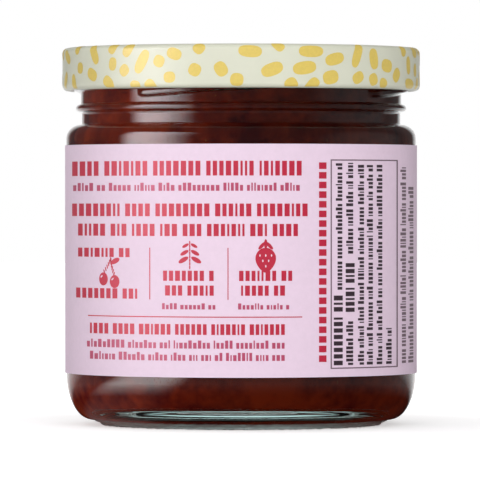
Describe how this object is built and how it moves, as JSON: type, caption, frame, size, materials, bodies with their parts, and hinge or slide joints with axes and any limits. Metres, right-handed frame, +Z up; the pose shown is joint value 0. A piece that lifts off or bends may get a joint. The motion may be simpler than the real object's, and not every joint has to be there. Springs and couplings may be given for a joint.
{
  "type": "jam jar",
  "caption": "Small round glass jam jar filled with dark red fruit jam, with a wrap-round paper label and a twist-off steel cap.",
  "frame": {"origin": "centre of the foot, on the surface that the jar stands on", "axes": "+Z up along the jar's axis; the side of the label with the small print faces -Y"},
  "size_m": [0.0724, 0.0724, 0.0763],
  "materials": {
    "glass": "clear flint glass, moulded",
    "jam": "dark red fruit jam, wet",
    "label_paper": "pale pink paper with dull red print",
    "cap_enamel": "off-white enamel with scattered yellow ovals"
  },
  "bodies": {
    "root": {"jar": "glass", "jam": "jam", "label": "label_paper", "cap": "cap_enamel"}
  },
  "joints": []
}
